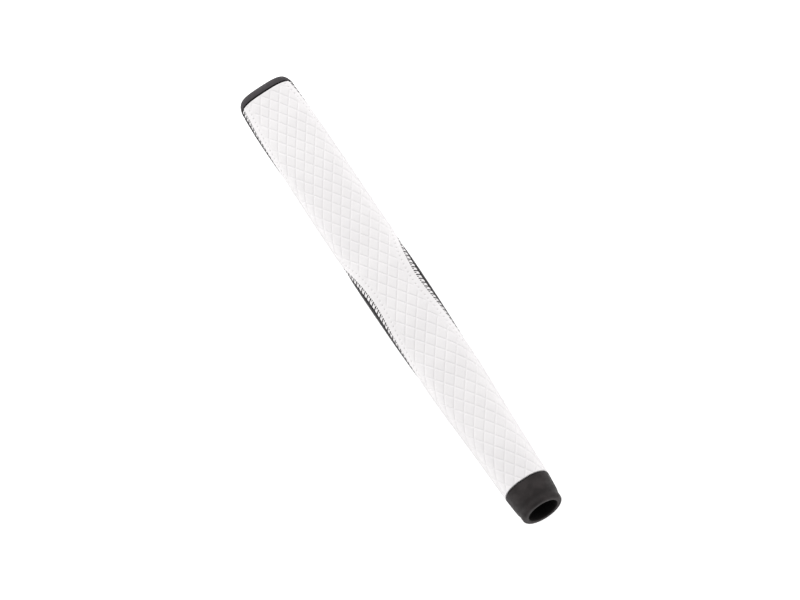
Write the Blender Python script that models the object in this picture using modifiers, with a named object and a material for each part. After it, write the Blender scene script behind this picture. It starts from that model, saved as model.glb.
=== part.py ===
"""Putter grip: a moulded core sleeve, two stitched cover panels over felt, a butt cap and a mouth collar.

Frame: the shaft axis is the Y axis, with the mouth at y = 0 and the butt at +Y. The flat front, where the
thumbs lie, faces +Z, and the origin is the centre of the mouth. Lengths are in metres.
"""

import math

import bmesh
import bpy

# Driving dimensions
MM = 0.001
LENGTH = 267 * MM
GAP = 0.3 * MM                  # clearance left between pieces that touch

MOUTH_RADIUS = 10.15 * MM       # outside of the mouth, which is round
BORE_MOUTH_RADIUS = 7.35 * MM   # the bore narrows a little towards the butt
BORE_BUTT_RADIUS = 7.2 * MM
LIP_FLARE = 0.15 * MM           # the bore opens out by this much at the lip
LIP_ROUND = 1.2 * MM            # outer rounding of the lip

COLLAR_LENGTH = 14 * MM
COLLAR_BULGE = 0.35             # share of the collar's widening that falls off towards its top
COLLAR_RINGS = (4 * MM, 8 * MM)  # heights of the rings between the lip and the collar's top
COLLAR_STEP = 0.1 * MM          # the collar's top lies this far below the panels' surface
SOCKET_DEPTH = 8 * MM           # how far the core's nose reaches into the collar
NOSE_RADIUS = 8.2 * MM

CAP_SIDE = 5.5 * MM             # height of the cap that shows beyond the panels
CAP_STRAIGHT = 0.2 * MM         # of which this much is straight before the edge rounds over
CAP_INSET = 3.45 * MM           # the edge rounds in by this much at the end face
SPIGOT_LENGTH = 5 * MM          # the cap's spigot closes the end of the bore
SPIGOT_RADIUS = BORE_BUTT_RADIUS - GAP
VENT_RADIUS = 1.5 * MM
OVERRUN = 1 * MM                # how far a cutter reaches past the face it cuts

PANEL_THICKNESS = 1.3 * MM
FELT_THICKNESS = 0.5 * MM
FELT_DEPTH = PANEL_THICKNESS + GAP
CORE_DEPTH = FELT_DEPTH + FELT_THICKNESS + 1.5 * GAP

SEAM_MARGIN = 3.5 * MM          # from the stitch holes in the front panel to its edge
SEAM_GAP = 0.5 * MM             # between the edges of the two panels, under the thread
BACK_MARGIN = 1.3 * MM          # from the edge of the back panel to its stitch holes
SEAM_DIP = 0.75 * MM            # how deep the stitches pull the margins in
DIP_RUN = 0.7 * MM              # width of the slope down into the dip
THREAD_THICKNESS = 0.45 * MM
FELT_SKIVE = 1.6 * MM           # the felt stops this far inside the stitch holes
THREAD_INSET = 2 * MM           # the threads stop this far from the collar and the cap

# Outline stations from mouth to butt: distance along the axis, half width, front height, back depth (mm)
# and squareness, where 2 is an ellipse
STATIONS = (
    (14, 11.6, 10.8, 11.4, 2.3),
    (45, 12.7, 10.9, 12.0, 2.6),
    (75, 13.95, 11.0, 12.5, 2.8),
    (105, 14.75, 11.0, 12.8, 2.9),
    (150, 15.2, 11.0, 12.8, 3.0),
    (200, 15.3, 11.0, 12.6, 3.0),
    (230, 15.4, 11.0, 13.0, 3.1),
    (248, 15.4, 11.0, 14.4, 3.1),
    (267, 14.8, 11.0, 14.6, 3.1),
)

BACK_SQUARENESS = 0.6           # how much squarer the back is than an ellipse, as a share of the front's

# The stitch holes along the front panel: distance along the axis (mm) and height of the line above the
# widest part of the section, as an angle in degrees. The panel is waisted near the middle and at the butt.
SEAM_LINE = (
    (14, -14),
    (50, -14),
    (68, -6),
    (84, 8),
    (98, 21),
    (113, 33),
    (122, 41),
    (131, 45),
    (140, 42),
    (149, 33),
    (157, 18),
    (165, 3),
    (174, -5),
    (188, -3),
    (208, 6),
    (226, 13),
    (245, 24),
    (267, 40),
)

FRONT = math.pi / 2             # angle of the middle of the front, from +X
BACK = -math.pi / 2

# Mesh density
OUTLINE_STEPS = 120             # fine steps used to measure along half an outline
COVER_ROWS = 26                 # rows of the panels, the felt and the threads along the grip
COVER_STEPS = 7                 # steps across half a panel
MARGIN_STEPS = 3                # steps across a stitched margin, and across a thread
CORE_SIDES = 32
ROUND_SIDES = 32
EDGE_STEPS = 4

GRIP = bpy.data.collections.new("putter_grip")
CUTTERS = bpy.data.collections.new("cutters")


def clear_scene():
    for obj in list(bpy.data.objects):
        bpy.data.objects.remove(obj, do_unlink=True)
    for collection in (GRIP, CUTTERS):
        bpy.context.scene.collection.children.link(collection)


def material(name, color, roughness, metallic=0.0):
    mat = bpy.data.materials.new(name)
    mat.use_nodes = True
    shader = mat.node_tree.nodes["Principled BSDF"]
    shader.inputs["Base Color"].default_value = (*color, 1.0)
    shader.inputs["Roughness"].default_value = roughness
    shader.inputs["Metallic"].default_value = metallic
    return mat


def add_object(name, mesh, mat, collection=GRIP):
    obj = bpy.data.objects.new(name, mesh)
    collection.objects.link(obj)
    if mat:
        mesh.materials.append(mat)
    return obj


# Outline of the grip

def smooth_lookup(table, y, column):
    """Value of a column at y, on a smooth curve through the table's rows."""
    last = len(table) - 1
    if y <= table[0][0]:
        return table[0][column]
    if y >= table[last][0]:
        return table[last][column]
    i = max(k for k in range(last) if table[k][0] <= y)
    before, start, end, after = table[max(i - 1, 0)], table[i], table[i + 1], table[min(i + 2, last)]
    span = end[0] - start[0]
    t = (y - start[0]) / span
    slope_in = span * (end[column] - before[column]) / (end[0] - before[0])
    slope_out = span * (after[column] - start[column]) / (after[0] - start[0])
    return (
        (2 * t**3 - 3 * t**2 + 1) * start[column]
        + (t**3 - 2 * t**2 + t) * slope_in
        + (3 * t**2 - 2 * t**3) * end[column]
        + (t**3 - t**2) * slope_out
    )


def section(y):
    """Half width, front height, back depth and squareness of the outline at y."""
    width, front, back, square = (smooth_lookup(STATIONS, y / MM, c) for c in (1, 2, 3, 4))
    return width * MM, front * MM, back * MM, square


def collar_section(y):
    """The same for the collar, which goes from the round mouth to just under the panels' outline."""
    width, front, back, square = section(COLLAR_LENGTH)
    t = y / COLLAR_LENGTH
    ease = t * (2 - t) * COLLAR_BULGE + t * (1 - COLLAR_BULGE)
    sizes = [MOUTH_RADIUS + ease * (s - COLLAR_STEP - MOUTH_RADIUS) for s in (width, front, back)]
    return (*sizes, 2 + ease * (square - 2))


def outline_point(shape, angle):
    """Point and outward normal on an outline, at an angle from +X through the front at 90 degrees."""
    width, front, back, square = shape
    depth = front
    if angle < 0:
        depth, square = back, 2 + BACK_SQUARENESS * (square - 2)
    c, s = max(math.cos(angle), 0.0), abs(math.sin(angle))
    x, z = width * c ** (2 / square), depth * s ** (2 / square)
    nx = (x / width) ** (square - 1) / width
    nz = (z / depth) ** (square - 1) / depth
    size = math.hypot(nx, nz)
    side = 1 if angle >= 0 else -1
    return (x, side * z), (nx / size, side * nz / size)


class HalfOutline:
    """The +X half of an outline, measured along its surface from the middle of the front."""

    def __init__(self, shape):
        quarter = math.pi / 2
        angles = [quarter - math.pi * k / OUTLINE_STEPS for k in range(OUTLINE_STEPS + 1)]
        self.shape = shape
        self.angles = angles
        self.points = [outline_point(shape, a)[0] for a in angles]
        self.runs = [0.0]
        for p, q in zip(self.points, self.points[1:]):
            self.runs.append(self.runs[-1] + math.dist(p, q))
        self.length = self.runs[-1]

    def run_at(self, angle):
        """Distance along the surface from the middle of the front to an angle."""
        k = (math.pi / 2 - angle) / math.pi * OUTLINE_STEPS
        i = min(int(k), OUTLINE_STEPS - 1)
        return self.runs[i] + (k - i) * (self.runs[i + 1] - self.runs[i])

    def angle_at(self, run):
        """Angle of the point at a distance along the surface."""
        run = min(max(run, 0.0), self.length)
        i = max(k for k in range(OUTLINE_STEPS) if self.runs[k] <= run)
        t = (run - self.runs[i]) / (self.runs[i + 1] - self.runs[i])
        return self.angles[i] + t * (self.angles[i + 1] - self.angles[i])

    def at(self, angle, depth=0.0):
        """Point at an angle, sunk by a depth below the surface."""
        (x, z), (nx, nz) = outline_point(self.shape, angle)
        return x - depth * nx, z - depth * nz

    def arc(self, start, end, count, depth=0.0):
        """Points from one angle to another. Even steps in angle lie closest together on the corners."""
        return [self.at(start + (end - start) * k / count, depth) for k in range(count + 1)]


def seam_run(y, outline):
    """Distance along the surface from the middle of the front to the stitch holes."""
    return outline.run_at(math.radians(smooth_lookup(SEAM_LINE, y / MM, 1)))


def full_ring(y, shape, inset, sides):
    """Closed outline at y, drawn in by an inset, as a list of points."""
    right = HalfOutline(shape).arc(FRONT, BACK, sides // 2, inset)
    left = [(-x, z) for x, z in reversed(right[1:-1])]
    return [(x, y, z) for x, z in right + left]


def rows_between(start, end, count):
    return [start + (end - start) * k / count for k in range(count + 1)]


# Meshes

def loft_solid(name, rings, mat, collection=GRIP):
    """Closed solid through closed rings, which run from -Y to +Y."""
    bm = bmesh.new()
    loops = [[bm.verts.new(p) for p in ring] for ring in rings]
    sides = len(rings[0])
    for low, high in zip(loops, loops[1:]):
        for i in range(sides):
            j = (i + 1) % sides
            bm.faces.new((low[i], high[i], high[j], low[j]))
    bm.faces.new(loops[0])
    bm.faces.new(list(reversed(loops[-1])))
    bmesh.ops.recalc_face_normals(bm, faces=bm.faces)
    return finish_mesh(name, bm, mat, collection)


def loft_sheet(name, rows, mat, thickness):
    """Open surface through rows of points, made solid inwards by a Solidify modifier."""
    bm = bmesh.new()
    lines = [[bm.verts.new(p) for p in row] for row in rows]
    for low, high in zip(lines, lines[1:]):
        for i in range(len(low) - 1):
            bm.faces.new((low[i], low[i + 1], high[i + 1], high[i]))
    obj = finish_mesh(name, bm, mat, GRIP)
    solid = obj.modifiers.new("thickness", "SOLIDIFY")
    solid.thickness = thickness
    solid.offset = -1.0
    solid.use_even_offset = True
    return obj


def finish_mesh(name, bm, mat, collection):
    mesh = bpy.data.meshes.new(name)
    bm.to_mesh(mesh)
    bm.free()
    mesh.shade_smooth()
    mesh.set_sharp_from_angle(angle=math.radians(40))
    return add_object(name, mesh, mat, collection)


def turned_cutter(name, profile):
    """Cutter turned about the Y axis from a profile of (radius, y), with closed ends."""
    angles = [2 * math.pi * k / ROUND_SIDES for k in range(ROUND_SIDES)]
    rings = [[(r * math.cos(a), y, r * math.sin(a)) for a in angles] for r, y in profile]
    cutter = loft_solid(name, rings, None, CUTTERS)
    cutter.hide_render = True
    cutter.display_type = "WIRE"
    return cutter


def cut(obj, cutter):
    boolean = obj.modifiers.new(cutter.name, "BOOLEAN")
    boolean.operation = "DIFFERENCE"
    boolean.object = cutter


# Pieces

def bore_cutter(name, start, end):
    """The shaft's bore between two distances from the mouth, opened out at the lip."""
    slope = (BORE_BUTT_RADIUS - BORE_MOUTH_RADIUS) / (LENGTH - CAP_SIDE)
    profile = []
    if start <= 0:
        profile += [(BORE_MOUTH_RADIUS + LIP_FLARE, start), (BORE_MOUTH_RADIUS + LIP_FLARE, 0.0)]
        profile += [(BORE_MOUTH_RADIUS, 2 * LIP_FLARE)]
    else:
        profile += [(BORE_MOUTH_RADIUS + slope * start, start)]
    profile += [(BORE_MOUTH_RADIUS + slope * end, end)]
    return turned_cutter(name, profile)


def make_core(mat):
    """Moulded sleeve that the covers are glued to, with the shaft's bore through it."""
    low, high = COLLAR_LENGTH + GAP, LENGTH - CAP_SIDE - GAP
    rings = [full_ring(y, section(y), CORE_DEPTH, CORE_SIDES) for y in rows_between(low, high, COVER_ROWS)]
    nose_low = COLLAR_LENGTH - SOCKET_DEPTH + GAP
    shoulder = [full_ring(low, (NOSE_RADIUS, NOSE_RADIUS, NOSE_RADIUS, 2), 0.0, CORE_SIDES)]
    nose = [full_ring(nose_low, (NOSE_RADIUS, NOSE_RADIUS, NOSE_RADIUS, 2), 0.0, CORE_SIDES)]
    core = loft_solid("core_sleeve", nose + shoulder + rings, mat)
    cut(core, bore_cutter("core_bore", nose_low / 2, LENGTH))
    return core


def make_collar(mat):
    """Tapered ring that closes the mouth and covers the panels' ends."""
    rounding = [
        (LIP_ROUND * (1 - math.sin(a)), LIP_ROUND * (1 - math.cos(a)))
        for a in (math.radians(90 * k / EDGE_STEPS) for k in range(EDGE_STEPS + 1))
    ]
    rings = [full_ring(y, collar_section(y), inset, CORE_SIDES) for inset, y in rounding]
    rings += [full_ring(y, collar_section(y), 0.0, CORE_SIDES) for y in (*COLLAR_RINGS, COLLAR_LENGTH)]
    collar = loft_solid("mouth_collar", rings, mat)
    cut(collar, bore_cutter("collar_bore", -OVERRUN, COLLAR_LENGTH + OVERRUN))
    socket_radius = NOSE_RADIUS + GAP
    socket_floor = COLLAR_LENGTH - SOCKET_DEPTH
    cut(collar, turned_cutter("collar_socket", [(socket_radius, socket_floor), (socket_radius, LENGTH / 2)]))
    return collar


def make_cap(mat):
    """End cap with a rounded edge, a spigot that plugs the core's bore, and a vent hole."""
    base = LENGTH - CAP_SIDE
    shape = section(LENGTH)
    rise = CAP_SIDE - CAP_STRAIGHT
    rounding = [
        (CAP_INSET * (1 - math.cos(a)), base + CAP_STRAIGHT + rise * math.sin(a))
        for a in (math.radians(90 * k / EDGE_STEPS) for k in range(EDGE_STEPS + 1))
    ]
    round_shape = (SPIGOT_RADIUS, SPIGOT_RADIUS, SPIGOT_RADIUS, 2)
    spigot_end = base - SPIGOT_LENGTH
    rings = [full_ring(y, round_shape, 0.0, CORE_SIDES) for y in (spigot_end, base)]
    rings += [full_ring(base, shape, 0.0, CORE_SIDES)]
    rings += [full_ring(y, shape, inset, CORE_SIDES) for inset, y in rounding]
    cap = loft_solid("butt_cap", rings, mat)
    vent = [(VENT_RADIUS, spigot_end - OVERRUN), (VENT_RADIUS, LENGTH + OVERRUN)]
    cut(cap, turned_cutter("vent_hole", vent))
    return cap


def cover_rows(inset):
    """Distances from the mouth of the covers' rows, drawn in from the collar and the cap by an inset."""
    return rows_between(COLLAR_LENGTH + inset, LENGTH - CAP_SIDE - inset, COVER_ROWS)


def mirrored_row(y, right):
    """Row of points across the middle, given the +X half in order from +X or to +X."""
    left = [(-x, z) for x, z in reversed(right[:-1])]
    return [(x, y, z) for x, z in right + left]


def make_front_panel(mat):
    """Front cover. Its margins dip where the stitches pull them in."""
    rows = []
    for y in cover_rows(GAP):
        outline = HalfOutline(section(y))
        holes = seam_run(y, outline)
        edge, foot = outline.angle_at(holes + SEAM_MARGIN), outline.angle_at(holes + DIP_RUN)
        left = outline.arc(edge, foot, MARGIN_STEPS, SEAM_DIP)
        left += outline.arc(outline.angle_at(holes), FRONT, COVER_STEPS)
        rows.append(mirrored_row(y, [(-x, z) for x, z in left]))
    return loft_sheet("front_panel", rows, mat, PANEL_THICKNESS)


def make_back_panel(mat):
    """Back cover, from one seam round the back to the other."""
    rows = []
    for y in cover_rows(GAP):
        outline = HalfOutline(section(y))
        edge = seam_run(y, outline) + SEAM_MARGIN + SEAM_GAP
        holes = edge + BACK_MARGIN
        right = outline.arc(outline.angle_at(edge), outline.angle_at(holes), 1, SEAM_DIP)
        right += outline.arc(outline.angle_at(holes + DIP_RUN), BACK, COVER_STEPS)
        rows.append(mirrored_row(y, right))
    return loft_sheet("back_panel", rows, mat, PANEL_THICKNESS)


def make_front_felt(mat):
    """Felt under the front cover, cut back from the seams."""
    rows = []
    for y in cover_rows(2 * GAP):
        outline = HalfOutline(section(y))
        edge = outline.angle_at(seam_run(y, outline) - FELT_SKIVE)
        left = outline.arc(edge, FRONT, COVER_STEPS, FELT_DEPTH)
        rows.append(mirrored_row(y, [(-x, z) for x, z in left]))
    return loft_sheet("front_felt", rows, mat, FELT_THICKNESS)


def make_back_felt(mat):
    """Felt under the back cover, cut back from the seams."""
    rows = []
    for y in cover_rows(2 * GAP):
        outline = HalfOutline(section(y))
        margins = SEAM_MARGIN + SEAM_GAP + BACK_MARGIN + DIP_RUN
        edge = outline.angle_at(seam_run(y, outline) + margins + FELT_SKIVE)
        rows.append(mirrored_row(y, outline.arc(edge, BACK, COVER_STEPS, FELT_DEPTH)))
    return loft_sheet("back_felt", rows, mat, FELT_THICKNESS)


def make_seam_thread(name, side, mat):
    """Band of lacing thread that lies in the dip over both panels' margins."""
    rows = []
    depth = SEAM_DIP - GAP - THREAD_THICKNESS
    for y in cover_rows(THREAD_INSET):
        outline = HalfOutline(section(y))
        holes = seam_run(y, outline)
        start = outline.angle_at(holes + DIP_RUN + GAP)
        end = outline.angle_at(holes + SEAM_MARGIN + SEAM_GAP + BACK_MARGIN - GAP)
        points = outline.arc(start, end, MARGIN_STEPS, depth)
        if side < 0:
            points.reverse()
        rows.append([(side * x, y, z) for x, z in points])
    return loft_sheet(name, rows, mat, THREAD_THICKNESS)


def build():
    clear_scene()
    rubber = material("black rubber", (0.03, 0.028, 0.03), 0.6)
    foam = material("black foam rubber", (0.02, 0.02, 0.02), 0.85)
    white = material("white cover", (0.9, 0.89, 0.89), 0.5)
    black = material("black cover", (0.02, 0.02, 0.022), 0.55)
    felt = material("grey felt", (0.35, 0.35, 0.35), 0.95)
    thread = material("black thread", (0.015, 0.015, 0.016), 0.7)
    make_core(foam)
    make_collar(rubber)
    make_cap(rubber)
    make_front_panel(white)
    make_back_panel(black)
    make_front_felt(felt)
    make_back_felt(felt)
    make_seam_thread("right_seam_thread", 1, thread)
    make_seam_thread("left_seam_thread", -1, thread)


build()
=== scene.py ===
"""Looks of a putter grip: a quilted white front cover laced to a grained black back cover, over felt and a
moulded sleeve, with a rubber cap at the butt and a rubber collar at the mouth.

The shaft axis is the Y axis, with the mouth at y = 0. The flat front faces +Z. Lengths are in metres.
"""

import math

import bpy
import numpy as np
from mathutils import Matrix, Vector


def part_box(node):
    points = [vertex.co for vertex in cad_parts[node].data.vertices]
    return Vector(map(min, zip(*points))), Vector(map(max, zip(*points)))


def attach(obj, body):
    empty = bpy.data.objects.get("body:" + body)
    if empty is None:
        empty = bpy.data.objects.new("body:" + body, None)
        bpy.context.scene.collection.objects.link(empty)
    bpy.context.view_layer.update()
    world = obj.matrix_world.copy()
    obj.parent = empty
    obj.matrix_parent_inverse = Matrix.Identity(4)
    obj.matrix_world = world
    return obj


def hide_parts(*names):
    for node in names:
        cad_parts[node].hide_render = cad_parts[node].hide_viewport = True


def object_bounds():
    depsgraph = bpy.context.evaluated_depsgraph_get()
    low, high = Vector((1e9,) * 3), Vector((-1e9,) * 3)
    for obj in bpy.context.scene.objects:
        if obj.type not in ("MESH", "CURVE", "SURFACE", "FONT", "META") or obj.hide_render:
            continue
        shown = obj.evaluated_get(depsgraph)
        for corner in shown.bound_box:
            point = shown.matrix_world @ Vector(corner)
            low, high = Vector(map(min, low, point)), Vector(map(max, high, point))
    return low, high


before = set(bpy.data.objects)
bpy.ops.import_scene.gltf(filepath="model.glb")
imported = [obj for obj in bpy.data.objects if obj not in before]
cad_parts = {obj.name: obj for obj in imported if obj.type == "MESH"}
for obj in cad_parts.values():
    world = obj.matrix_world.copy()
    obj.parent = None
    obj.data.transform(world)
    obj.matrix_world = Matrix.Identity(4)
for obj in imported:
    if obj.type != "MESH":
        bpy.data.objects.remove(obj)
cad_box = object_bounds()

MM = 0.001

# The grip's outline, as in the CAD model
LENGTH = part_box("butt_cap")[1].y
GAP = 0.3 * MM                  # between neighbouring pieces
MOUTH_RADIUS = 10.15 * MM
BORE_MOUTH_RADIUS = 7.35 * MM
BORE_BUTT_RADIUS = 7.2 * MM
LIP_FLARE = 0.15 * MM           # the mouth is this much wider than the bore
LIP_ROUND = 1.2 * MM
COLLAR_LENGTH = 14 * MM
COLLAR_BULGE = 0.35             # share of the collar's taper that bends, the rest being straight
COLLAR_WAIST = 0.24 * MM        # depth of the shallow hollow that sets off the lip
COLLAR_WAIST_PLACE = 3.6 * MM
COLLAR_WAIST_RUN = 1.2 * MM
COLLAR_STEP = 0.1 * MM          # the collar's top lies this far below the covers
SOCKET_DEPTH = 8 * MM
NOSE_RADIUS = 8.2 * MM
CAP_SIDE = 5.5 * MM
CAP_STRAIGHT = 0.2 * MM         # height of the cap's side below its dome
CAP_INSET = 3.45 * MM           # how far the dome draws in
SPIGOT_LENGTH = 5 * MM
VENT_RADIUS = 1.5 * MM
PANEL_THICKNESS = 1.3 * MM
FELT_THICKNESS = 0.5 * MM
FELT_DEPTH = PANEL_THICKNESS + GAP
CORE_DEPTH = FELT_DEPTH + FELT_THICKNESS + 1.5 * GAP
FELT_SKIVE = 1.6 * MM           # the felt stops this far short of the seam
BACK_FELT_INSET = 0.8 * MM      # and the back felt this much further from the holes

# Distance along the axis, half width, front height and back depth (mm), and squareness, where 2 is an
# ellipse
STATIONS = (
    (14, 11.6, 10.8, 11.4, 2.3),
    (45, 12.7, 10.9, 12.0, 2.6),
    (75, 13.95, 11.0, 12.5, 2.8),
    (105, 14.75, 11.0, 12.8, 2.9),
    (150, 15.2, 11.0, 12.8, 3.0),
    (200, 15.3, 11.0, 12.6, 3.0),
    (230, 15.4, 11.0, 13.0, 3.1),
    (248, 15.4, 11.0, 14.4, 3.1),
    (267, 14.8, 11.0, 14.6, 3.1),
)

# How much squarer than an ellipse the back is, as a share of the same for the front
BACK_SQUARENESS = 0.6

# Distance along the axis (mm) and height of the stitch line above the widest part, as an angle in degrees
SEAM_LINE = (
    (14, -14),
    (50, -14),
    (68, -6),
    (84, 8),
    (98, 21),
    (113, 33),
    (122, 41),
    (131, 45),
    (140, 42),
    (149, 33),
    (157, 18),
    (165, 3),
    (174, -5),
    (188, -3),
    (208, 6),
    (226, 13),
    (245, 24),
    (267, 40),
)

# Distance along the axis (mm) and how far the covers are turned to one side at the seams, in degrees
SEAM_TWIST = ((180, 0), (215, 2.5), (250, 4.5), (263, 2))

# The seam, measured across it from the stitch line in the front cover towards the back
FRONT_DIP = 0.5 * MM            # how far the stitches pull the front cover's margin in
BACK_DIP = 0.95 * MM            # and the back cover's
FRONT_EDGE = 3.6 * MM           # edge of the front cover
BACK_EDGE = 3.9 * MM            # edge of the back cover
BACK_HOLES = 5.2 * MM           # the back cover's stitch holes
STITCH_PULL = (-0.25 * MM, 0.45 * MM)   # the front cover dips over this stretch
FRONT_UNDER_PULL = (-1.2 * MM, 0.8 * MM)    # and its underside over this one
BACK_UNDER_RETURN = (4.6 * MM, 10.2 * MM)   # the back cover's underside comes back up over this one
RIDGE_RISE = 0.1 * MM           # a low ridge runs along the stitch line
RIDGE_PLACE = 0.55 * MM         # this far inside it
RIDGE_RUN = 0.45 * MM
PUFF = 0.22 * MM                # how far the margins bulge between the stitches
PUFF_RUN = 0.6 * MM             # reach of the back cover's bulges
FRONT_PUFF_LEAN = 0.14          # stitches by which the bulges lean towards the mouth, from hole to edge
BACK_PUFF_SHIFT = 0.2           # and by which the back cover's lie nearer the mouth
EDGE_ROUND = 0.3 * MM           # rounding of the covers' cut edges
NEEDLE_ROW = 3.0 * MM           # a second row of needle marks lies this far inside the stitch line
NEEDLE_SIZE = (0.4 * MM, 0.6 * MM)  # half lengths of a needle mark along and across the seam
NEEDLE_DEPTH = 0.2 * MM
NEEDLE_HOLE = (0.12 * MM, 0.42 * MM)    # radius of the painted shade in the middle of a needle mark, and where it ends
STITCH_PITCH = 2.45 * MM
FIRST_STITCH = COLLAR_LENGTH + 1 * MM
SEAM_END = LENGTH - CAP_SIDE - 1.2 * MM

# How the back cover comes back up beyond its holes: shares of the dip, each with its stretch from the holes
BACK_RETURN = ((0.4, -0.1 * MM, 0.6 * MM), (0.6, 0.0, 5 * MM))

# The strands of thread in a stitch: place along the seam, how far the strand slants towards the mouth, start
# and end across the seam, radius, and how deep both ends dive
GAP_MIDDLE = (FRONT_EDGE + BACK_EDGE) / 2
BACK_START = BACK_HOLES - 0.05 * MM
STITCH_STRANDS = (
    (0.0, 0.35 * MM, -0.1 * MM, GAP_MIDDLE, 0.38 * MM, (0.5 * MM, 0.55 * MM)),
    (-0.5 * STITCH_PITCH, 0.1 * MM, -0.05 * MM, 1.6 * MM, 0.28 * MM, (0.38 * MM, 0.38 * MM)),
    (-0.4 * MM, 0.6 * MM, BACK_START, GAP_MIDDLE, 0.25 * MM, (0.4 * MM, 0.5 * MM)),
    (-1.3 * MM, 0.4 * MM, BACK_START, GAP_MIDDLE, 0.2 * MM, (0.4 * MM, 0.5 * MM)),
)
STRAND_RISE = 0.23 * MM         # how far the threads stand up from the leather
STRAND_HALF_WIDTH = 1.08        # of a flattened strand, as a share of its radius
STRAND_HALF_HEIGHT = 0.9
DIVE_SHARE = 0.16               # share of a strand's length over which each end dives

# The quilting of the front cover
PAD_LENGTH = 9.0 * MM           # of one diamond, along the grip
PAD_START = 4.05 * MM           # a row of groove crossings lies at this distance from the mouth
PAD_SHIFT = 0.55 * MM           # and the middle column this far to the +X side
GROOVE_DEPTH = 0.18 * MM
GROOVE_RUN = 0.6 * MM           # half the width of a groove
GROOVE_SPACING = 4.9 * MM       # between two parallel grooves, nearly the same everywhere
CREASE_DEPTH = 0.045 * MM       # of the sharp crease that the material adds along a groove
CREASE_RUN = 0.5 * MM           # half the width of a crease
PAD_CROWN = 0.05 * MM           # how far a diamond's middle stands above its edges
QUILT_FADE = (-5.6 * MM, -3.9 * MM)     # the grooves fade out over this stretch before the stitch line
CREASE_FADE = (-5.4 * MM, -3.9 * MM)    # and the creases over this one
CAP_FADE = 3 * MM               # the grooves fade out this far from the cap
CREASE_CAP_FADE = (1.2, 0.1)    # and the creases over this stretch, in stitches from the cap
COLLAR_FADE = (-1 * MM, 1.4 * MM)       # the grooves begin over this stretch from the collar

# Distance along the axis and width of a diamond (mm)
PAD_WIDTHS = (
    (14, 6.0),
    (50, 6.05),
    (90, 6.1),
    (110, 6.05),
    (130, 5.85),
    (150, 5.65),
    (170, 5.55),
    (267, 5.55),
)

# Mesh density. The columns near a seam are placed from the stitch line.
FRONT_ROW_STEP = 0.4 * MM
BACK_ROW_STEP = 0.5 * MM
FELT_ROW_STEP = 2 * MM
END_ROWS = (0, 0.04, 0.12, 0.25)        # mm from a rounded end
END_STRETCH = 0.5 * MM          # the even rows begin here
FRONT_PAD_COLUMNS = 56
FRONT_PADS_END = 0.85 * MM      # before the stitch line
FRONT_SEAM_COLUMNS = (-0.6, -0.35, -0.1, 0.15, 0.4, 0.8, 1.25, 1.7, 2.15, 2.6, 3.1, 3.32, 3.47, 3.56)   # mm
BACK_BODY_COLUMNS = 47
BACK_BODY_END = 6.3 * MM
BACK_SEAM_COLUMNS = (6.0, 5.8, 5.6, 5.4, 5.2, 4.95, 4.65, 4.4, 4.2, 4.1, 4.02, 3.94)    # mm
FELT_COLUMNS = 25
QUARTER_STEPS = 120             # fine steps used to measure along a quarter of the outline
COLLAR_ROWS = 26
SLEEVE_ROWS = 60
RING_SIDES = 128
EDGE_STEPS = 5                  # rings round a small rounded edge
LIP_STEPS = 8
DOME_STEPS = 14

# Darkest and lightest tone of the rubbers, and their roughness
SLEEVE_RUBBER = ((0.006, 0.006, 0.006), (0.014, 0.013, 0.013), 0.8)
COLLAR_RUBBER = ((0.017, 0.0145, 0.0145), (0.034, 0.029, 0.029), 0.6)
CAP_RUBBER = ((0.038, 0.034, 0.0375), (0.0495, 0.045, 0.049), 0.65)
HOLE_SHADE = 0.5 * MM           # painted shade: the black inside a hole fades out this far beyond its edge
JOINT_SHADE = (0.35 * MM, 0.8 * MM)     # and the painted shade beside a joint over this stretch
BLACK = (0.0, 0.0, 0.0)
WHITE = (1.0, 1.0, 1.0)

# Lights that look at the middle of the grip: direction from it, distance (m), size (m) and power (W)
LIGHTS = {
    "key": ((0, 1.0, 0.5), 2.5, 0.85, 35),
    "right_fill": ((1.0, -0.35, 0.25), 1.2, 0.6, 1.9),
    "left_fill": ((-1.0, 0.1, 0.25), 1.2, 0.6, 1.6),
}
WORLD_STRENGTH = 0.8
FLOOR_HALF = 1.6
FLOOR_GAP = 0.05 * MM
FLOOR_GLOW = 0.6


# Outline

def smooth_lookup(table, y, column):
    """Value of a column at y, on a smooth curve through the table's rows."""
    last = len(table) - 1
    if y <= table[0][0]:
        return table[0][column]
    if y >= table[last][0]:
        return table[last][column]
    i = max(k for k in range(last) if table[k][0] <= y)
    before, start, end, after = table[max(i - 1, 0)], table[i], table[i + 1], table[min(i + 2, last)]
    span = end[0] - start[0]
    t = (y - start[0]) / span
    slope_in = span * (end[column] - before[column]) / (end[0] - before[0])
    slope_out = span * (after[column] - start[column]) / (after[0] - start[0])
    return (
        (2 * t**3 - 3 * t**2 + 1) * start[column]
        + (t**3 - 2 * t**2 + t) * slope_in
        + (3 * t**2 - 2 * t**3) * end[column]
        + (t**3 - t**2) * slope_out
    )


def section(y):
    """Half width, front height, back depth and squareness of the outline at y."""
    width, front, back, square = (smooth_lookup(STATIONS, y / MM, c) for c in (1, 2, 3, 4))
    return width * MM, front * MM, back * MM, square


def collar_section(y):
    """The same for the collar, which goes from the round mouth to just under the panels' outline."""
    width, front, back, square = section(COLLAR_LENGTH)
    t = min(y / COLLAR_LENGTH, 1)
    ease = t * (2 - t) * COLLAR_BULGE + t * (1 - COLLAR_BULGE)
    sizes = [MOUTH_RADIUS + ease * (s - COLLAR_STEP - MOUTH_RADIUS) for s in (width, front, back)]
    return (*sizes, 2 + ease * (square - 2))


def circle(radius):
    return radius, radius, radius, 2


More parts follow.
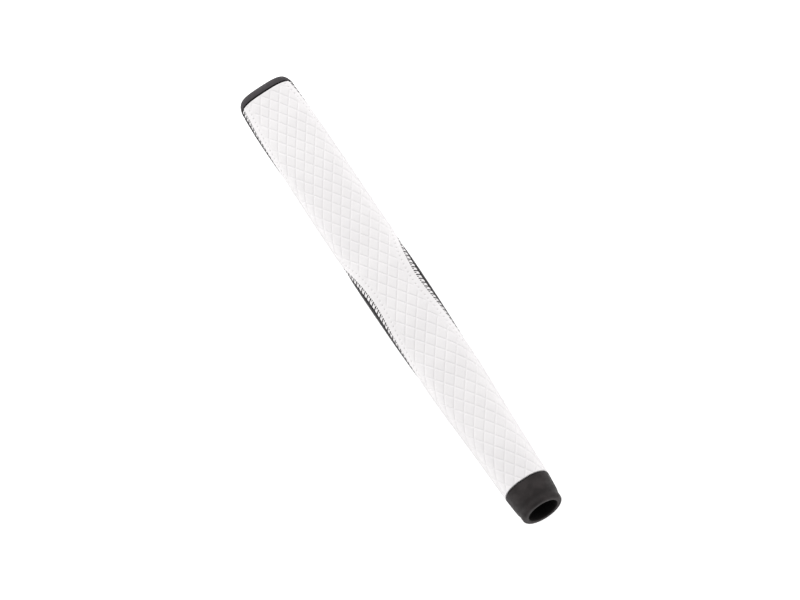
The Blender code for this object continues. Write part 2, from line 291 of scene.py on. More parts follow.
def outline_points(shape, angles):
    """Points and outward normals on an outline, at angles from +X through the front at 90 degrees."""
    width, front, back, square = shape
    depth = np.where(angles >= 0, front, back)
    square = np.where(angles >= 0, square, 2 + BACK_SQUARENESS * (square - 2))
    side = np.where(angles >= 0, 1.0, -1.0)
    x = width * np.maximum(np.cos(angles), 0) ** (2 / square)
    z = depth * np.abs(np.sin(angles)) ** (2 / square)
    nx = (x / width) ** (square - 1) / width
    nz = (z / depth) ** (square - 1) / depth
    size = np.hypot(nx, nz)
    return x, side * z, nx / size, side * nz / size


def quarter_shares():
    """Shares of a quarter turn, close together at both ends, where a squarish outline runs fastest."""
    t = np.linspace(0, 1, QUARTER_STEPS + 1) ** 1.5
    return t / (t + t[::-1])


QUARTER = math.pi / 2
HALF_ANGLES = np.concatenate([QUARTER * (1 - quarter_shares()), -QUARTER * quarter_shares()[1:]])


class HalfOutline:
    """The +X half of an outline, measured along its surface from the middle of the front."""

    def __init__(self, shape):
        self.shape = shape
        x, z, _, _ = outline_points(shape, HALF_ANGLES)
        self.runs = np.concatenate([[0], np.cumsum(np.hypot(np.diff(x), np.diff(z)))])
        self.length = self.runs[-1]

    def run_at(self, angle):
        return float(np.interp(-angle, -HALF_ANGLES, self.runs))

    def at(self, runs, depths=0.0):
        """x and z of the points at distances along the surface, sunk by depths below it."""
        x, z, nx, nz = outline_points(self.shape, np.interp(runs, self.runs, HALF_ANGLES))
        return x - depths * nx, z - depths * nz


def seam_outline(y, side):
    """The half outline at y, and the distance along it to the stitch line on the +X (1) or -X (-1) side."""
    outline = HalfOutline(section(y))
    angle = smooth_lookup(SEAM_LINE, y / MM, 1) - side * smooth_lookup(SEAM_TWIST, y / MM, 1)
    return outline, outline.run_at(math.radians(angle))


# Relief

def smooth_step(low, high, value):
    t = np.clip((value - low) / (high - low), 0, 1)
    return t * t * (3 - 2 * t)


def hump(distance, run):
    """1 at no distance, falling smoothly to 0 over a few runs."""
    return np.exp(-((distance / run) ** 2))


def rounded_end(distance, radius):
    """How far a surface has rounded down at a distance from its end."""
    missing = np.clip(radius - distance, 0, radius)
    return radius - np.sqrt(radius**2 - missing**2)


def stitch_phase(y):
    """Position along the seam, counted in stitches from the first."""
    return (y - FIRST_STITCH) / STITCH_PITCH


def needle_dimples(y, across):
    """1 at the middle of each needle mark, falling to 0 round it. across is measured from the stitch line."""
    along = ((stitch_phase(y) + 0.5) % 1 - 0.5) * STITCH_PITCH
    return hump(along, NEEDLE_SIZE[0]) * hump(across + NEEDLE_ROW, NEEDLE_SIZE[1])


def pad_position(y, run, side):
    """Position in the quilting along and across the grip, counted in diamonds, and a diamond's width."""
    width = smooth_lookup(PAD_WIDTHS, y / MM, 1) * MM
    return (y - PAD_START) / PAD_LENGTH, (side * run - PAD_SHIFT) / width, width


def diamond_relief(y, run, across, side):
    """Depth of the quilting below the outline, at a distance from the middle of the front to one side."""
    along, aside, width = pad_position(y, run, side)
    spread = PAD_LENGTH * width / math.hypot(PAD_LENGTH, width)
    lines = np.array([along + aside, along - aside])
    to_line = np.abs(lines - np.round(lines)).min(axis=0) * spread
    groove = 0.5 + 0.5 * np.cos(math.pi * np.minimum(to_line / GROOVE_RUN, 1))
    crown = PAD_CROWN * (1 - smooth_step(0, spread / 2, to_line))
    fade = 1 - smooth_step(*QUILT_FADE, across)
    fade = fade * smooth_step(0, CAP_FADE, LENGTH - CAP_SIDE - y)
    fade = fade * smooth_step(*COLLAR_FADE, y - COLLAR_LENGTH)
    return (GROOVE_DEPTH * groove + crown) * fade


def front_relief(y, run, holes, side):
    """Depth of the front cover's surface below the outline."""
    across = run - holes
    depth = diamond_relief(y, run, across, side)
    depth = depth + NEEDLE_DEPTH * needle_dimples(y, across)
    depth = depth - RIDGE_RISE * hump(across + RIDGE_PLACE, RIDGE_RUN)
    puff = 0.5 - 0.5 * np.cos(2 * math.pi * (stitch_phase(y) + FRONT_PUFF_LEAN * across / FRONT_EDGE))
    puff = PUFF * puff * np.sin(np.clip(across / FRONT_EDGE, 0, 1) * math.pi)
    depth = depth + smooth_step(*STITCH_PULL, across) * (FRONT_DIP - puff)
    return depth + rounded_end(FRONT_EDGE - across, EDGE_ROUND)


def back_relief(y, run, holes):
    """Depth of the back cover's surface below the outline."""
    across = run - holes
    margin = 1.0
    for share, low, high in BACK_RETURN:
        margin = margin - share * smooth_step(BACK_HOLES + low, BACK_HOLES + high, across)
    puff = 0.5 - 0.5 * math.cos(2 * math.pi * (stitch_phase(y) + BACK_PUFF_SHIFT))
    bulge = puff * PUFF * hump(across - (BACK_EDGE + BACK_HOLES) / 2, PUFF_RUN)
    return margin * BACK_DIP - bulge + rounded_end(across - BACK_EDGE, EDGE_ROUND)


# Meshes

def make_object(name, verts, faces, mat, **uv_layers):
    """Smooth-shaded mesh object. Each UV layer holds one (u, v) for each vertex."""
    mesh = bpy.data.meshes.new(name)
    mesh.from_pydata(np.asarray(verts).reshape(-1, 3), [], faces)
    mesh.shade_smooth()
    mesh.set_sharp_from_angle(angle=math.radians(60))
    corners = np.zeros(len(mesh.loops), np.int32)
    mesh.loops.foreach_get("vertex_index", corners)
    for layer_name, uvs in uv_layers.items():
        layer = mesh.uv_layers.new(name=layer_name)
        layer.data.foreach_set("uv", np.asarray(uvs, np.float32)[corners].ravel())
    mesh.materials.append(mat)
    obj = bpy.data.objects.new(name, mesh)
    bpy.context.scene.collection.objects.link(obj)
    return obj


def grid_corners(index):
    """Low left, low right, high right and high left vertex of each quad in a grid of vertex numbers."""
    return index[:-1, :-1], index[:-1, 1:], index[1:, 1:], index[1:, :-1]


def grid_faces(index, flip=False):
    """Quads of a grid of vertex numbers."""
    quads = np.stack(grid_corners(index), axis=-1).reshape(-1, 4)
    return (quads[:, ::-1] if flip else quads).tolist()


def split_faces(index, rising):
    """Triangles of a grid of vertex numbers. Where rising is true, the cut goes up and to the right."""
    low_left, low_right, high_right, high_left = grid_corners(index)
    lower = np.stack([low_left, low_right, np.where(rising, high_right, high_left)], axis=-1)
    upper = np.stack([np.where(rising, low_left, low_right), high_right, high_left], axis=-1)
    return np.concatenate([lower.reshape(-1, 3), upper.reshape(-1, 3)]).tolist()


def follows_rising_groove(quilt):
    """For each quad of a grid, whether the nearest groove of the quilting runs up and to the right."""
    along, aside = np.moveaxis((quilt[:-1, :-1] + quilt[1:, 1:]) / 2, -1, 0)
    rising, falling = (np.abs(line - np.round(line)) for line in (along - aside, along + aside))
    return rising < falling


def closed_sheet(name, outer, inner, mat, flip, **uv_layers):
    """Sheet between an outer and an inner grid of points. The inner grid has fewer columns, evenly spread."""
    rows, columns = outer.shape[:2]
    inner_columns = inner.shape[1]
    keep = (columns - 1) // (inner_columns - 1)
    top = np.arange(rows * columns).reshape(rows, columns)
    under = rows * columns + np.arange(rows * inner_columns).reshape(rows, inner_columns)
    faces = split_faces(top, follows_rising_groove(uv_layers["quilt"])) + grid_faces(under, flip=True)
    for r in range(rows - 1):
        faces.append((top[r, 0], top[r + 1, 0], under[r + 1, 0], under[r, 0]))
        faces.append((top[r + 1, -1], top[r, -1], under[r, -1], under[r + 1, -1]))
    for c in range(inner_columns - 1):
        span = slice(c * keep, (c + 1) * keep + 1)
        faces.append((*top[0, span][::-1], under[0, c], under[0, c + 1]))
        faces.append((*top[-1, span], under[-1, c + 1], under[-1, c]))
    if flip:
        faces = [tuple(reversed(face)) for face in faces]
    verts = np.concatenate([outer.reshape(-1, 3), inner.reshape(-1, 3)])
    for key, uvs in uv_layers.items():
        uv_layers[key] = np.concatenate([uvs.reshape(-1, 2), uvs[:, ::keep].reshape(-1, 2)])
    return make_object(name, verts, faces, mat, **uv_layers)


def whole_row(left, right):
    """A row across the whole grip, given the values of its halves from the middle outwards."""
    return np.concatenate([left[:0:-1], right])


def cover_rows(inset, step):
    """Distances from the mouth of a cover's rows. They crowd together at the rounded ends."""
    low, high = COLLAR_LENGTH + inset, LENGTH - CAP_SIDE - inset
    crowded = np.array(END_ROWS) * MM
    middle = np.linspace(low + END_STRETCH, high - END_STRETCH, round((high - low) / step))
    return np.concatenate([low + crowded, middle, high - crowded[::-1]])


def end_rounding(y, inset):
    nearest = min(y - COLLAR_LENGTH - inset, LENGTH - CAP_SIDE - inset - y)
    return float(rounded_end(nearest, EDGE_ROUND))


def make_layer(name, half_row, mat, inset, step, keep, flip):
    """A cover or a felt. half_row gives distances round from the middle outwards, and both surfaces' depths.

    The inner surface has one column for every keep columns of the outer. flip turns the faces over, for a
    layer whose rows run the other way round.
    Returns the object, its flat width and length, and its flat area.
    """
    ys = cover_rows(inset, step)
    outer, inner, surface, quilt, widths = [], [], [], [], []
    for y in ys:
        halves = {-1: [], 1: []}
        for side in halves:
            outline, holes = seam_outline(y, side)
            runs, over, under = half_row(y, outline, holes, side)
            over = over + end_rounding(y, inset)
            for picked, depths in ((runs, over), (runs[::keep], under[::keep])):
                x, z = outline.at(picked, depths)
                halves[side].append(np.stack([side * x, np.full(len(x), y), z], axis=-1))
            stitch = np.full(len(runs), stitch_phase(y))
            halves[side].append(np.stack([(runs - holes) / MM, stitch], axis=-1))
            along, aside, _ = pad_position(y, runs, side)
            halves[side].append(np.stack([np.full(len(runs), along), aside], axis=-1))
        for rows, left, right in zip((outer, inner, surface, quilt), halves[-1], halves[1]):
            rows.append(whole_row(left, right))
        widths.append(2 * abs(runs[-1] - runs[0]))
    layers = {"surface": np.array(surface), "quilt": np.array(quilt)}
    obj = closed_sheet(name, np.array(outer), np.array(inner), mat, flip, **layers)
    return obj, (max(widths), ys[-1] - ys[0]), float(np.trapz(widths, ys))


def front_cover_row(y, outline, holes, side):
    pads = np.linspace(0, holes - FRONT_PADS_END, FRONT_PAD_COLUMNS)
    runs = np.concatenate([pads, holes + np.array(FRONT_SEAM_COLUMNS) * MM, [holes + FRONT_EDGE]])
    under = PANEL_THICKNESS + FRONT_DIP * smooth_step(*FRONT_UNDER_PULL, runs - holes)
    return runs, front_relief(y, runs, holes, side), under


def back_cover_row(y, outline, holes, side):
    body = np.linspace(outline.length, holes + BACK_BODY_END, BACK_BODY_COLUMNS)
    runs = np.concatenate([body, holes + np.array(BACK_SEAM_COLUMNS) * MM, [holes + BACK_EDGE]])
    under = PANEL_THICKNESS + BACK_DIP * (1 - smooth_step(*BACK_UNDER_RETURN, runs - holes))
    return runs, back_relief(y, runs, holes), under


def felt_row(start, end):
    depths = np.full(FELT_COLUMNS, FELT_DEPTH)
    return np.linspace(start, end, FELT_COLUMNS), depths, depths + FELT_THICKNESS


def front_felt_row(y, outline, holes, side):
    return felt_row(0, holes - FELT_SKIVE)


def back_felt_row(y, outline, holes, side):
    return felt_row(outline.length, holes + BACK_HOLES + BACK_FELT_INSET + FELT_SKIVE)


def ring(shape, inset, y):
    """Closed ring of points round an outline, drawn in by an inset. It starts at the middle of the front."""
    half = HalfOutline(shape)
    x, z = half.at(np.linspace(0, half.length, RING_SIDES // 2 + 1), inset)
    x, z = np.concatenate([x, -x[-2:0:-1]]), np.concatenate([z, z[-2:0:-1]])
    return np.stack([x, np.full(RING_SIDES, y), z], axis=-1)


def closed_loft(name, rings, mat):
    """Solid whose skin passes through rings and comes back from the last to the first."""
    index = np.arange(len(rings) * RING_SIDES).reshape(len(rings), RING_SIDES)
    across, along = np.roll(index, -1, axis=1), np.roll(index, -1, axis=0)
    quads = np.stack([index, across, np.roll(along, -1, axis=1), along], axis=-1).reshape(-1, 4)
    return make_object(name, np.concatenate(rings), quads.tolist(), mat)


def between(start, end, count):
    """Rings between two rings, without either."""
    return [start + (end - start) * k / (count + 1) for k in range(1, count + 1)]


def quarter_round(radius, count):
    """Steps round a quarter circle: how far each is short of the side, and how far it is past the end."""
    angles = [QUARTER * k / count for k in range(count + 1)]
    return [(radius * (1 - math.sin(a)), radius * (1 - math.cos(a))) for a in angles]


def round_mouth(radius, rounding, end, inward, count):
    """Rings of a round hole's rounded edge at an end, from the end's face into the hole."""
    steps = quarter_round(rounding, count)
    return [ring(circle(radius + wider), 0.0, end + inward * deeper) for wider, deeper in steps]


def make_cap(mat):
    """Rubber cap: a domed edge, a flat end with a vent hole, and a spigot that plugs the sleeve's bore."""
    base = LENGTH - CAP_SIDE
    shape = section(LENGTH)
    low_round, rise, vent_round = 0.35 * MM, CAP_SIDE - CAP_STRAIGHT, 0.5 * MM
    side = [ring(shape, inset, base + up) for inset, up in quarter_round(low_round, EDGE_STEPS)]
    dome = [
        ring(shape, CAP_INSET * (1 - math.cos(a)), base + CAP_STRAIGHT + rise * math.sin(a))
        for a in [QUARTER * k / DOME_STEPS for k in range(1, DOME_STEPS + 1)]
    ]
    rim = round_mouth(VENT_RADIUS, vent_round, LENGTH, -1, EDGE_STEPS)
    spigot_end = base - SPIGOT_LENGTH
    spigot = circle(BORE_BUTT_RADIUS - GAP)
    inside = [ring(circle(VENT_RADIUS), 0.0, spigot_end)]
    inside += [ring(spigot, 0.0, y) for y in (spigot_end, base)]
    rings = side + dome + between(dome[-1], rim[0], 5) + rim + inside + between(inside[-1], side[0], 2)
    return closed_loft("end_cap", rings[::-1], mat)


def make_collar(mat):
    """Tapered rubber collar with a rounded lip, and a socket for the sleeve's nose."""
    top_round, bore_round, flare_depth = 0.3 * MM, 0.5 * MM, 2 * MM
    shape = collar_section(COLLAR_LENGTH)
    top = [ring(shape, inset, COLLAR_LENGTH - down) for inset, down in quarter_round(top_round, EDGE_STEPS)]
    side = [
        ring(collar_section(y), COLLAR_WAIST * hump(y - COLLAR_WAIST_PLACE, COLLAR_WAIST_RUN), y)
        for y in np.linspace(COLLAR_LENGTH - 1 * MM, LIP_ROUND, COLLAR_ROWS)
    ]
    lip = [ring(collar_section(y), inset, y) for y, inset in quarter_round(LIP_ROUND, LIP_STEPS)[1:]]
    flare = round_mouth(BORE_MOUTH_RADIUS + LIP_FLARE, bore_round, 0, 1, LIP_STEPS)
    socket_floor = COLLAR_LENGTH - SOCKET_DEPTH
    socket = circle(NOSE_RADIUS + GAP)
    inside = [ring(circle(BORE_MOUTH_RADIUS), 0.0, y) for y in (flare_depth, socket_floor)]
    inside += [ring(socket, 0.0, y) for y in (socket_floor, COLLAR_LENGTH)]
    return closed_loft("collar", top + side + lip + flare + inside, mat)


def make_sleeve(mat):
    """Moulded sleeve under the covers, with a nose in the collar and the shaft's bore through it."""
    low, high = COLLAR_LENGTH + GAP, LENGTH - CAP_SIDE - GAP
    nose_low = COLLAR_LENGTH - SOCKET_DEPTH + GAP
    slope = (BORE_BUTT_RADIUS - BORE_MOUTH_RADIUS) / (LENGTH - CAP_SIDE)
    nose = [ring(circle(NOSE_RADIUS), 0.0, y) for y in (nose_low, low)]
    body = [ring(section(y), CORE_DEPTH, y) for y in np.linspace(low, high, SLEEVE_ROWS)]
    bore = [ring(circle(BORE_MOUTH_RADIUS + slope * y), 0.0, y) for y in (high, nose_low)]
    return closed_loft("sleeve", (nose + body + bore)[::-1], mat)


# Lacing

class Strands:
    """Lengths of thread gathered into one mesh, on the +X side or mirrored to the -X side."""

    SIDES = 8
    STEPS = 12

    def __init__(self, side):
        self.side = side
        self.verts, self.faces, self.uvs = [], [], []
        self.outlines = {}

    def seam_point(self, y, across, depth):
        if y not in self.outlines:
            self.outlines[y] = seam_outline(y, self.side)
        outline, holes = self.outlines[y]
        x, z = outline.at(holes + across, depth)
        return Vector((float(x), y, float(z)))

    def lay(self, y, slant, start, end, radius, dive):
        """Thread between two distances across the seam, pressed into the leather so that it barely stands up.

        dive says how far its start and its end go down.
        """
        centres, ups = [], []
        for t in np.linspace(0, 1, self.STEPS + 1):
            sink = dive[0] * (1 - smooth_step(0, DIVE_SHARE, t)) + dive[1] * smooth_step(1 - DIVE_SHARE, 1, t)
            across = start + (end - start) * t
            margin = BACK_DIP if across > BACK_EDGE else FRONT_DIP * smooth_step(*STITCH_PULL, across)
            depth = margin + STRAND_HALF_HEIGHT * radius - STRAND_RISE + sink
            centres.append(self.seam_point(y - slant * t, across, depth))
            ups.append(self.seam_point(y - slant * t, across, depth - 1 * MM) - centres[-1])
        first = len(self.verts)
        for k, (centre, up) in enumerate(zip(centres, ups)):
            along = (centres[min(k + 1, self.STEPS)] - centres[max(k - 1, 0)]).normalized()
            beside = along.cross(up).normalized()
            up = beside.cross(along).normalized()
            beside, up = STRAND_HALF_WIDTH * radius * beside, STRAND_HALF_HEIGHT * radius * up
            for s in range(self.SIDES):
                a = 2 * math.pi * s / self.SIDES
                point = centre + math.cos(a) * beside + math.sin(a) * up
                self.verts.append((self.side * point.x, point.y, point.z))
                self.uvs.append((s / self.SIDES, k / self.STEPS))
        index = first + np.arange((self.STEPS + 1) * self.SIDES).reshape(self.STEPS + 1, self.SIDES)
        wrapped = np.concatenate([index, index[:, :1]], axis=1)
        faces = grid_faces(wrapped) + [index[0, ::-1].tolist(), index[-1].tolist()]
        self.faces += [face[::-1] for face in faces] if self.side < 0 else faces


def make_lacing(name, side, mat):
    """Baseball lacing: at each stitch, threads cross both margins and dive into the gap."""
    strands = Strands(side)
    count = int((SEAM_END - FIRST_STITCH) / STITCH_PITCH)
    for i in range(1, count + 1):
        y = FIRST_STITCH + i * STITCH_PITCH
        for place, *strand in STITCH_STRANDS:
            strands.lay(y + place, *strand)
    return make_object(name, strands.verts, strands.faces, mat, surface=strands.uvs)


# Materials

class Shader:
    """A material whose nodes are added one by one."""

    MIX_A, MIX_B, MIX_RESULT = 6, 7, 2      # a Mix node's colour sockets, whose names aren't unique

    def __init__(self, name, color, roughness, specular):
        self.material = bpy.data.materials.new(name)
        self.material.use_nodes = True
        self.tree = self.material.node_tree
        self.surface = self.tree.nodes["Principled BSDF"]
        self.surface.inputs["Base Color"].default_value = (*color, 1)
        self.surface.inputs["Roughness"].default_value = roughness
        self.surface.inputs["Specular IOR Level"].default_value = specular
        self.where = self.add("ShaderNodeTexCoord").outputs["Object"]

    def add(self, kind, inputs=None, **settings):
        node = self.tree.nodes.new(kind)
        for key, value in settings.items():
            setattr(node, key, value)
        for key, value in (inputs or {}).items():
            if isinstance(value, bpy.types.NodeSocket):
                self.tree.links.new(value, node.inputs[key])
            else:
                node.inputs[key].default_value = value
        return node

    def link(self, output, name):
        self.tree.links.new(output, self.surface.inputs[name])

    def noise(self, scale, detail=3.0, roughness=0.55):
        inputs = {"Vector": self.where, "Scale": scale, "Detail": detail, "Roughness": roughness}
        return self.add("ShaderNodeTexNoise", inputs).outputs["Fac"]

    def cells(self, scale):
        """0 in the creases between the cells of a leather grain, rising towards their middles."""
        inputs = {"Vector": self.where, "Scale": scale}
        return self.add("ShaderNodeTexVoronoi", inputs, feature="DISTANCE_TO_EDGE").outputs["Distance"]

    def remap(self, value, low, high, to_low, to_high, interpolation="SMOOTHSTEP"):
        inputs = {"Value": value, "From Min": low, "From Max": high, "To Min": to_low, "To Max": to_high}
        return self.add("ShaderNodeMapRange", inputs, interpolation_type=interpolation).outputs["Result"]

    def math(self, operation, a, b=0.0):
        return self.add("ShaderNodeMath", {0: a, 1: b}, operation=operation).outputs["Value"]

    def length(self, a, b):
        """Length of the vector (a, b)."""
        squares = self.math("ADD", self.math("MULTIPLY", a, a), self.math("MULTIPLY", b, b))
        return self.math("SQRT", squares)

    def from_whole(self, value):
        """Difference from the nearest whole number, for values above -100."""
        return self.math("SUBTRACT", self.math("FRACT", self.math("ADD", value, 100.5)), 0.5)

    def uv_axes(self, layer):
        uv = self.add("ShaderNodeUVMap", uv_map=layer).outputs["UV"]
        axes = self.add("ShaderNodeSeparateXYZ", {0: uv}).outputs
        return axes["X"], axes["Y"]

    def blend(self, share, first, second):
        """Colour from first to second. Each is three numbers or a colour socket."""
        colors = [c if isinstance(c, bpy.types.NodeSocket) else (*c, 1) for c in (first, second)]
        inputs = {"Factor": share, self.MIX_A: colors[0], self.MIX_B: colors[1]}
        return self.add("ShaderNodeMix", inputs, data_type="RGBA").outputs[self.MIX_RESULT]

    def bump(self, height, distance, strength=1.0, normal=None):
        inputs = {"Height": height, "Distance": distance, "Strength": strength}
        if normal is not None:
            inputs["Normal"] = normal
        return self.add("ShaderNodeBump", inputs).outputs["Normal"]


def needle_marks(s, across, stitch):
    """1 inside the needle marks and 0 outside them."""
    along = s.math("MULTIPLY", s.from_whole(stitch), STITCH_PITCH / MM)
    inward = s.math("ADD", across, NEEDLE_ROW / MM)
    return s.remap(s.length(along, inward), *[radius / MM for radius in NEEDLE_HOLE], 1.0, 0.0)


def quilt_creases(s, across, stitch):
    """1 in the middle of the grooves, falling evenly to 0 beside them, and fading out towards the edges."""
    along, aside = s.uv_axes("quilt")
    lines = [s.from_whole(s.math(operation, along, aside)) for operation in ("ADD", "SUBTRACT")]
    to_line = s.math("MINIMUM", *[s.math("ABSOLUTE", line) for line in lines])
    crease = s.remap(to_line, 0.0, CREASE_RUN / GROOVE_SPACING, 1.0, 0.0, "LINEAR")
    crease = s.math("MULTIPLY", crease, s.remap(across, *[limit / MM for limit in CREASE_FADE], 1.0, 0.0))
    cap_stitches = [stitch_phase(LENGTH - CAP_SIDE) - count for count in CREASE_CAP_FADE]
    return s.math("MULTIPLY", crease, s.remap(stitch, *cap_stitches, 1.0, 0.0))


def white_leather():
    """White polyurethane leather: a fine grain, needle marks in a row with painted shade in their middles,
    sharp creases in the grooves, and painted shade where it turns away from the camera.
    """
    s = Shader("white_leather", (0.8, 0.78, 0.785), 0.5, 0.2)
    across, stitch = s.uv_axes("surface")
    needle = needle_marks(s, across, stitch)
    patches = s.remap(s.noise(60.0), 0.35, 0.65, 0.0, 1.0)
    tone = s.blend(patches, (0.8, 0.782, 0.786), (0.775, 0.757, 0.762))
    # painted shade: the middles of the needle marks are darkened, as if looking into a hole
    tone = s.blend(s.math("MULTIPLY", needle, 0.35), tone, (0.42, 0.4, 0.38))
    # painted shade: the colour darkens towards black where the surface turns away from the camera
    painted_grazing_shade = s.add("ShaderNodeLayerWeight", {"Blend": 0.5}).outputs["Facing"]
    s.link(s.blend(s.remap(painted_grazing_shade, 0.45, 0.9, 0.0, 0.16), tone, BLACK), "Base Color")
    s.link(s.remap(s.noise(900.0), 0.3, 0.7, 0.44, 0.58), "Roughness")
    relief = s.bump(s.remap(s.cells(1500.0), 0.0, 0.16, 0.0, 1.0), 0.02 * MM, 0.5)
    relief = s.bump(quilt_creases(s, across, stitch), -CREASE_DEPTH, 1.0, relief)
    relief = s.bump(s.noise(3500.0), 0.02 * MM, 0.4, relief)
    s.link(s.bump(needle, -0.12 * MM, 1.0, relief), "Normal")
    return s.material


def black_leather():
    """Black polyurethane leather with a clear pebble grain, and a painted sheen that makes it greyer where
    the grain stands up.
    """
    s = Shader("black_leather", (0.02, 0.017, 0.02), 0.6, 0.1)
    pebble = s.remap(s.cells(1050.0), 0.0, 0.18, 0.0, 1.0)
    # painted sheen: the raised grain is coloured greyer, in patches
    painted_grain_sheen = s.math("MULTIPLY", pebble, s.remap(s.noise(120.0), 0.35, 0.7, 0.55, 1.0))
    s.link(s.blend(painted_grain_sheen, (0.003, 0.0024, 0.003), (0.017, 0.0135, 0.0165)), "Base Color")
    s.link(s.remap(pebble, 0.0, 1.0, 0.68, 0.46), "Roughness")
    fine = s.bump(s.noise(5000.0), 0.02 * MM, 0.5)
    s.link(s.bump(pebble, 0.12 * MM, 1.0, fine), "Normal")
    return s.material


def rubber(name, low, high, roughness, hole, shaded_joint_y):
    """Moulded rubber, matt and finely speckled, with painted shade that turns it black inside the hole's
    radius and beside the joint at the y that the last argument gives.
    """
    s = Shader(name, high, roughness, 0.15)
    place = s.add("ShaderNodeSeparateXYZ", {0: s.where}).outputs
    # painted shade inside the hole
    inside = s.remap(s.length(place["X"], place["Z"]), hole, hole + HOLE_SHADE, 1.0, 0.0)
    # painted shade in the gap beside the joint
    joint = s.math("ABSOLUTE", s.math("SUBTRACT", place["Y"], shaded_joint_y))
    joint = s.remap(joint, *JOINT_SHADE, 0.9, 0.0)
    tone = s.blend(s.remap(s.noise(140.0, 5.0), 0.3, 0.7, 0.0, 1.0), low, high)
    s.link(s.blend(s.math("MAXIMUM", inside, joint), tone, (0.003, 0.0025, 0.0025)), "Base Color")
    s.link(s.remap(s.noise(500.0), 0.3, 0.7, roughness - 0.07, roughness + 0.07), "Roughness")
    s.link(s.bump(s.noise(4200.0, 4.0, 0.7), 0.05 * MM, 0.6), "Normal")
    return s.material


def thread():
    """Waxed black thread of two plies, twisted."""
    s = Shader("waxed_thread", (0.01, 0.01, 0.011), 0.7, 0.12)
    uv = s.add("ShaderNodeUVMap", uv_map="surface").outputs["UV"]
    twist = s.add("ShaderNodeMapping", {"Vector": uv, "Rotation": (0, 0, 0.5), "Scale": (2.0, 9.0, 1.0)})
    wave = {"Vector": twist.outputs["Vector"], "Scale": 0.6, "Distortion": 0.6}
    plies = s.add("ShaderNodeTexWave", wave).outputs["Fac"]
    s.link(s.blend(plies, (0.007, 0.005, 0.006), (0.017, 0.0125, 0.014)), "Base Color")
    s.link(s.bump(plies, 0.08 * MM, 0.7), "Normal")
    return s.material


def felt():
    """Grey felt of matted fibres."""
    s = Shader("grey_felt", (0.3, 0.3, 0.3), 0.95, 0.2)
    fibres = s.noise(2600.0, 6.0, 0.75)
    light = s.remap(fibres, 0.3, 0.7, 0.0, 1.0)
    s.link(s.blend(light, (0.22, 0.22, 0.22), (0.4, 0.4, 0.395)), "Base Color")
    s.link(s.bump(fibres, 0.2 * MM, 0.9), "Normal")
    return s.material


# Build

def add_piece(obj, slot_name, *nodes):
    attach(obj, "root")
    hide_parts(*nodes)
    return obj


def add_sheet(layer, slot_name, rests_on, *nodes):
    obj, flat, area = layer
    add_piece(obj, slot_name, *nodes)
    sizes = [round(v / MM, 1) for v in flat]
    print(obj.name, "flat", sizes, "mm, area", round(area * 1e4, 1), "cm2")


def build_grip():
    grey_felt, laces = felt(), thread()
    foam = rubber("foam_rubber", *SLEEVE_RUBBER, BORE_MOUTH_RADIUS, COLLAR_LENGTH)
    collar_skin = rubber("collar_rubber", *COLLAR_RUBBER, BORE_MOUTH_RADIUS, COLLAR_LENGTH)
    cap_skin = rubber("cap_rubber", *CAP_RUBBER, VENT_RADIUS, LENGTH - CAP_SIDE)
    sleeve, collar, cap = make_sleeve(foam), make_collar(collar_skin), make_cap(cap_skin)
    add_piece(sleeve, "core", "core_sleeve")
    add_piece(collar, "end_rubber", "mouth_collar")
    add_piece(cap, "end_rubber", "butt_cap")
    felt_size = {"inset": 2 * GAP, "step": FELT_ROW_STEP, "keep": 4}
    front_size = {"inset": GAP, "step": FRONT_ROW_STEP, "keep": 10}
    back_size = {"inset": GAP, "step": BACK_ROW_STEP, "keep": 3}
    front_felt = make_layer("front_underlay", front_felt_row, grey_felt, **felt_size, flip=False)
    back_felt = make_layer("back_underlay", back_felt_row, grey_felt, **felt_size, flip=True)
    front = make_layer("front_cover", front_cover_row, white_leather(), **front_size, flip=False)
    back = make_layer("back_cover", back_cover_row, black_leather(), **back_size, flip=True)
    add_sheet(front_felt, "felt", ["sleeve"], "front_felt")
    add_sheet(back_felt, "felt", ["sleeve"], "back_felt")
    add_sheet(front, "white_cover", ["front_underlay"], "front_panel")
    add_sheet(back, "black_cover", ["back_underlay"], "back_panel")
    add_piece(make_lacing("right_lacing", 1, laces), "thread", "right_seam_thread")
    add_piece(make_lacing("left_lacing", -1, laces), "thread", "left_seam_thread")


# Stage, light and camera

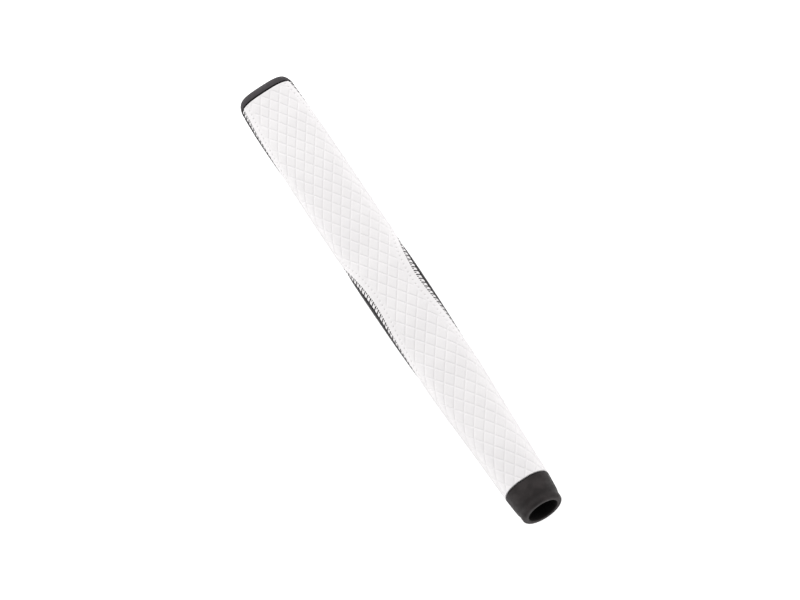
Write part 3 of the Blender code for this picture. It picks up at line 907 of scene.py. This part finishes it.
def make_floor():
    floor_top = cad_box[0].z - FLOOR_GAP
    signs = ((-1, -1), (1, -1), (1, 1), (-1, 1))
    corners = [(x * FLOOR_HALF, y * FLOOR_HALF, floor_top) for x, y in signs]
    s = Shader("pale_floor", (0.95, 0.95, 0.95), 0.7, 0.2)
    s.link(s.blend(s.noise(6.0), (0.95, 0.95, 0.95), (0.965, 0.965, 0.965)), "Base Color")
    s.surface.inputs["Emission Color"].default_value = (*WHITE, 1)
    s.surface.inputs["Emission Strength"].default_value = FLOOR_GLOW
    make_object("floor", corners, [(0, 1, 2, 3)], s.material)


def area_light(name, direction, distance, size, watts):
    """Soft square light that looks at the middle of the grip."""
    target = Vector((0, LENGTH / 2, 0))
    data = bpy.data.lights.new(name, "AREA")
    data.size = size
    data.energy = watts
    light = bpy.data.objects.new(name, data)
    light.location = target + Vector(direction).normalized() * distance
    light.rotation_euler = (target - light.location).to_track_quat("-Z", "Y").to_euler()
    bpy.context.scene.collection.objects.link(light)


def light_scene():
    world = bpy.data.worlds.new("studio")
    bpy.context.scene.world = world
    world.use_nodes = True
    background = world.node_tree.nodes["Background"]
    background.inputs["Color"].default_value = (*WHITE, 1)
    background.inputs["Strength"].default_value = WORLD_STRENGTH
    for name, settings in LIGHTS.items():
        area_light(name, *settings)
    bpy.context.scene.view_settings.view_transform = "Standard"


def place_camera():
    """The grip lies on its back, seen from above the mouth end. The mouth is at the picture's lower right."""
    tilt = math.radians(27)         # the mouth end comes towards the camera by this much
    roll = math.radians(-1.5)       # and the camera sees a little more of the -X side
    turn = math.atan2(0.556, 0.831)     # from straight down the picture to the way the grip points
    distance = 1.430
    lens, sensor_width = 135.54, 36     # mm
    right_shift, down_shift = 0.98 * MM, 3.01 * MM      # from the middle of the grip to the picture's middle
    around = Matrix.Rotation(roll, 3, "Y")
    back = around @ Vector((0, -math.sin(tilt), math.cos(tilt)))
    side = around @ Vector((1, 0, 0))
    mouthward = side.cross(back)
    right = math.sin(turn) * mouthward + math.cos(turn) * side
    down = math.cos(turn) * mouthward - math.sin(turn) * side
    data = bpy.data.cameras.new("camera")
    data.sensor_width = sensor_width
    data.lens = lens
    camera = bpy.data.objects.new("camera", data)
    centre = Vector((0, LENGTH / 2, 0)) + right * right_shift + down * down_shift
    facing = Matrix((right, -down, back)).transposed().to_4x4()
    camera.matrix_world = Matrix.Translation(centre + back * distance) @ facing
    bpy.context.scene.collection.objects.link(camera)
    bpy.context.scene.camera = camera


build_grip()
make_floor()
light_scene()
place_camera()
